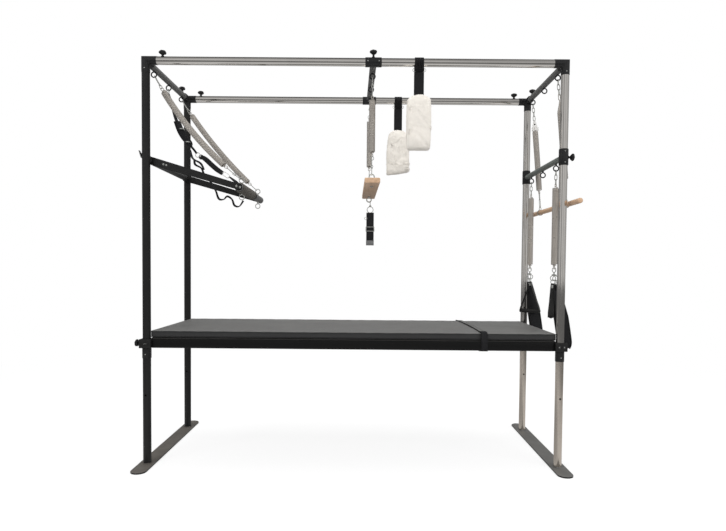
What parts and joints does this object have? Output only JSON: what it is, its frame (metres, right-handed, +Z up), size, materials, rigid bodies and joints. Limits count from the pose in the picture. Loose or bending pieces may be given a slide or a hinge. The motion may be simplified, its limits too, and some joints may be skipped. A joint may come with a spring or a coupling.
{
  "type": "pilates trapeze table",
  "caption": "Pilates trapeze table: padded bed, four posts and top rails with push-through bar, trapeze bar, fleece slings, roll-down bar, pull handles and foot loops.",
  "frame": {"origin": "centre of the bounding box, on the floor", "axes": "+X along the bed towards the roll-down end, -Y towards the viewer, +Z up"},
  "size_m": [2.3754, 0.93, 2.2025],
  "materials": {
    "black_paint": "satin",
    "chrome": "polished",
    "leg_steel": "polished",
    "bar_steel": "satin",
    "spring_steel": "satin",
    "vinyl": "matte",
    "plywood": "matte",
    "beech": "satin",
    "fleece": "matte",
    "webbing": "matte",
    "moulding": "satin",
    "foam": "matte"
  },
  "bodies": {
    "frame": {"foot_frame_left": "black_paint", "foot_frame_right": "leg_steel", "post_front_left": "black_paint", "post_front_right": "chrome", "post_rear_left": "black_paint", "post_rear_right": "chrome", "corner_front_left": "moulding", "corner_front_right": "moulding", "corner_rear_left": "moulding", "corner_rear_right": "moulding", "bed_corner_front_left": "black_paint", "bed_corner_front_right": "black_paint", "bed_corner_rear_left": "black_paint", "bed_corner_rear_right": "black_paint", "top_rail_front": "chrome", "top_rail_rear": "chrome", "crossbar_left": "bar_steel", "crossbar_right": "bar_steel", "bed_frame": "black_paint", "bed_board": "plywood", "mattress_pad": "vinyl", "bed_belt": "webbing", "push_spring_front": "spring_steel", "push_spring_rear": "spring_steel", "safety_strap": "webbing"},
    "push_bar": {"push_bar_axle": "black_paint", "push_bar_arm_front": "black_paint", "push_bar_arm_rear": "black_paint", "push_bar_handle": "black_paint", "push_bar_grip": "foam"},
    "mid_slide": {"mid_crossbar": "bar_steel"},
    "mid_knob_body": {"mid_knob": "moulding"},
    "trapeze": {"trapeze_spring_front": "spring_steel", "trapeze_spring_rear": "spring_steel", "trapeze_eye_front": "spring_steel", "trapeze_eye_rear": "spring_steel", "trapeze_board": "beech"},
    "cuff": {"ankle_cuff": "webbing"},
    "sling_front": {"sling_strap_front": "webbing"},
    "sling_front_pad": {"sling_fleece_front": "fleece"},
    "sling_rear": {"sling_strap_rear": "webbing"},
    "sling_rear_pad": {"sling_fleece_rear": "fleece"},
    "sliding_bar": {"sliding_crossbar": "bar_steel"},
    "sliding_knob_body": {"sliding_knob": "moulding"},
    "roll_down": {"roll_spring_front": "spring_steel", "roll_spring_rear": "spring_steel", "roll_down_bar": "beech"},
    "handle_front": {"handle_spring_front": "spring_steel", "pull_handle_front": "webbing"},
    "foot_loop_front_body": {"foot_loop_front": "webbing"},
    "handle_rear": {"handle_spring_rear": "spring_steel", "pull_handle_rear": "webbing"},
    "foot_loop_rear_body": {"foot_loop_rear": "webbing"},
    "rail_knob_front_left_body": {"rail_knob_front_left": "moulding"},
    "rail_knob_rear_left_body": {"rail_knob_rear_left": "moulding"},
    "rail_knob_rear_right_body": {"rail_knob_rear_right": "moulding"},
    "crossbar_knob_left_body": {"crossbar_knob_left": "moulding"},
    "crossbar_knob_right_body": {"crossbar_knob_right": "moulding"},
    "bed_knob_body": {"bed_knob": "moulding"},
    "lock_pin_body": {"lock_pin": "moulding"}
  },
  "joints": [
    {"name": "push_bar_swing", "type": "hinge", "parent": "frame", "child": "push_bar", "pos_m": [-1.11868, 0, 1.628], "axis": [0, 1, 0], "range_deg": [-55, 60], "stiffness_Nm_per_rad": 20, "springref_deg": -34.38, "deforming": ["push_spring_front", "push_spring_rear", "safety_strap"]},
    {"name": "mid_crossbar_slide", "type": "slide", "parent": "frame", "child": "mid_slide", "axis": [1, 0, 0], "range_m": [-0.55, 0.09]},
    {"name": "mid_knob_turn", "type": "hinge", "parent": "mid_slide", "child": "mid_knob_body", "pos_m": [0.06932, -0.33, 2.18], "axis": [0, 0, 1], "continuous": true},
    {"name": "trapeze_swing", "type": "hinge", "parent": "mid_slide", "child": "trapeze", "pos_m": [0.06932, 0, 2.105], "axis": [0, -1, 0], "range_deg": [-30, 12]},
    {"name": "ankle_cuff_swing", "type": "hinge", "parent": "trapeze", "child": "cuff", "pos_m": [0.06932, 0.22, 1.4914], "axis": [0, -1, 0], "range_deg": [-15, 15]},
    {"name": "sling_front_slide", "type": "slide", "parent": "frame", "child": "sling_front", "axis": [1, 0, 0], "range_m": [-0.05, 0.6]},
    {"name": "sling_front_swing", "type": "hinge", "parent": "sling_front", "child": "sling_front_pad", "pos_m": [0.31532, -0.33, 1.956], "axis": [1, 0, 0], "range_deg": [-25, 25]},
    {"name": "sling_rear_slide", "type": "slide", "parent": "frame", "child": "sling_rear", "axis": [1, 0, 0], "range_m": [-0.05, 0.6]},
    {"name": "sling_rear_swing", "type": "hinge", "parent": "sling_rear", "child": "sling_rear_pad", "pos_m": [0.24532, 0.33, 1.937], "axis": [1, 0, 0], "range_deg": [-25, 25]},
    {"name": "sliding_crossbar_slide", "type": "slide", "parent": "frame", "child": "sliding_bar", "axis": [0, 0, 1], "range_m": [-0.03, 0.1]},
    {"name": "sliding_knob_turn", "type": "hinge", "parent": "sliding_bar", "child": "sliding_knob_body", "pos_m": [1.12132, -0.33, 1.654], "axis": [1, 0, 0], "continuous": true},
    {"name": "roll_down_swing", "type": "hinge", "parent": "frame", "child": "roll_down", "pos_m": [1.08132, 0, 2.105], "axis": [0, -1, 0], "range_deg": [0, 60]},
    {"name": "handle_front_swing", "type": "hinge", "parent": "sliding_bar", "child": "handle_front", "pos_m": [1.08132, -0.22, 1.615], "axis": [0, -1, 0], "range_deg": [-1.5, 6]},
    {"name": "foot_loop_front_swing", "type": "hinge", "parent": "handle_front", "child": "foot_loop_front_body", "pos_m": [1.08132, -0.242, 1.014], "axis": [0, -1, 0], "range_deg": [0, 60]},
    {"name": "handle_rear_swing", "type": "hinge", "parent": "sliding_bar", "child": "handle_rear", "pos_m": [1.08132, 0.22, 1.615], "axis": [0, -1, 0], "range_deg": [-1.5, 6]},
    {"name": "foot_loop_rear_swing", "type": "hinge", "parent": "handle_rear", "child": "foot_loop_rear_body", "pos_m": [1.08132, 0.242, 1.014], "axis": [0, -1, 0], "range_deg": [0, 60]},
    {"name": "rail_knob_front_left_turn", "type": "hinge", "parent": "frame", "child": "rail_knob_front_left_body", "pos_m": [-1.02968, -0.33, 2.18], "axis": [0, 0, 1], "continuous": true},
    {"name": "rail_knob_rear_left_turn", "type": "hinge", "parent": "frame", "child": "rail_knob_rear_left_body", "pos_m": [-1.02968, 0.33, 2.18], "axis": [0, 0, 1], "continuous": true},
    {"name": "rail_knob_rear_right_turn", "type": "hinge", "parent": "frame", "child": "rail_knob_rear_right_body", "pos_m": [0.99232, 0.33, 2.18], "axis": [0, 0, 1], "continuous": true},
    {"name": "crossbar_knob_left_turn", "type": "hinge", "parent": "frame", "child": "crossbar_knob_left_body", "pos_m": [-1.11868, 0.235, 2.18], "axis": [0, 0, 1], "continuous": true},
    {"name": "crossbar_knob_right_turn", "type": "hinge", "parent": "frame", "child": "crossbar_knob_right_body", "pos_m": [1.08132, 0.235, 2.18], "axis": [0, 0, 1], "continuous": true},
    {"name": "bed_knob_turn", "type": "hinge", "parent": "frame", "child": "bed_knob_body", "pos_m": [-1.15868, -0.33, 0.657], "axis": [1, 0, 0], "continuous": true},
    {"name": "lock_pin_pull", "type": "slide", "parent": "frame", "child": "lock_pin_body", "axis": [-1, 0, 0], "range_m": [0, 0.008]}
  ]
}
